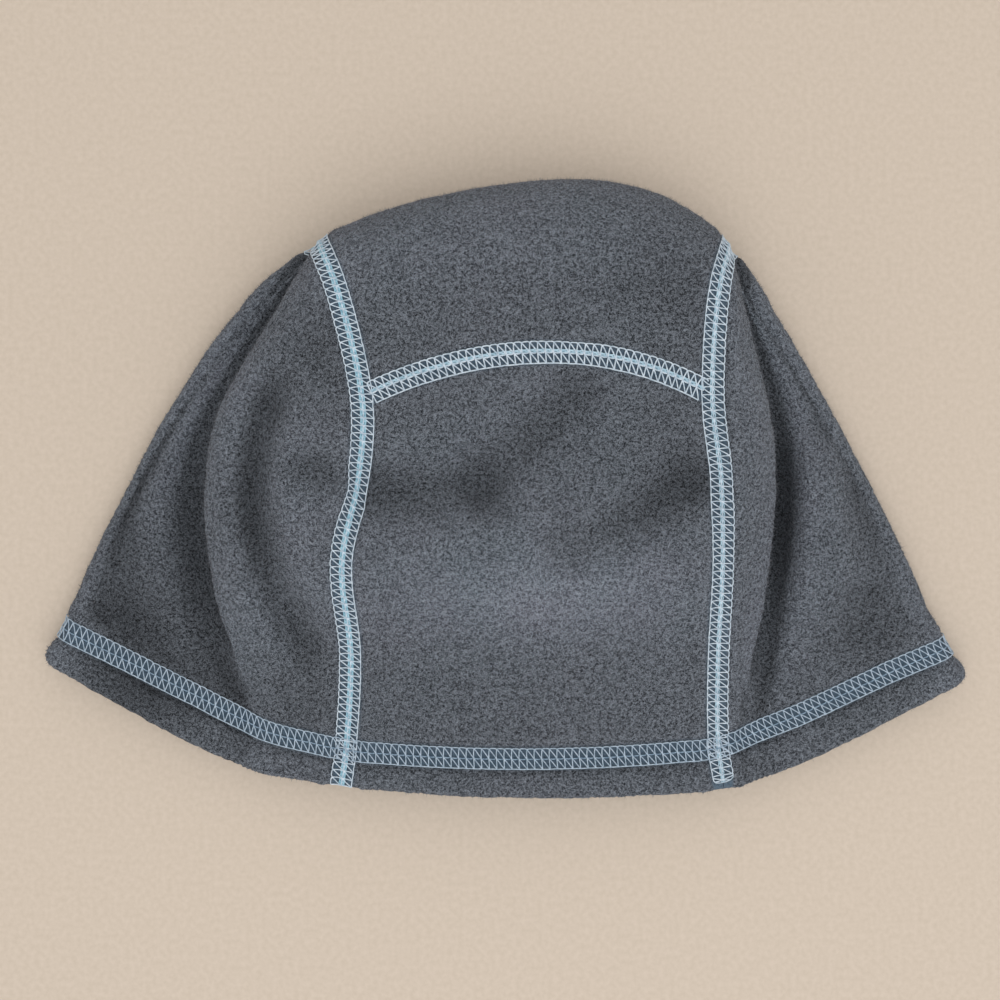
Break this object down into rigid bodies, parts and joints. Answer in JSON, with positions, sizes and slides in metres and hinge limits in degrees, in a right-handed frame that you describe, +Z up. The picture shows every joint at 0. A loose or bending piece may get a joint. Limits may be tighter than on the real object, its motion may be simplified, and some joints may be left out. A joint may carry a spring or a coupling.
{
  "type": "beanie",
  "caption": "Reversible fleece beanie lying flat, with a centre strip, two folded side panels, an arched front seam and a turned-up hem.",
  "frame": {"origin": "on the flat underside that the hat lies on, near the middle of its length and width", "axes": "+X across the hat to its right folded side, +Y from the hem to the crown, +Z up out of the lying face"},
  "size_m": [0.2747, 0.1799, 0.039],
  "materials": {
    "fleece": "brushed fleece, charcoal grey with a short nap",
    "seam_thread": "spun thread, light blue"
  },
  "bodies": {
    "root": {"front_panel": "fleece", "crown_panel": "fleece", "side_panel_left": "fleece", "side_panel_right": "fleece"}
  },
  "joints": []
}
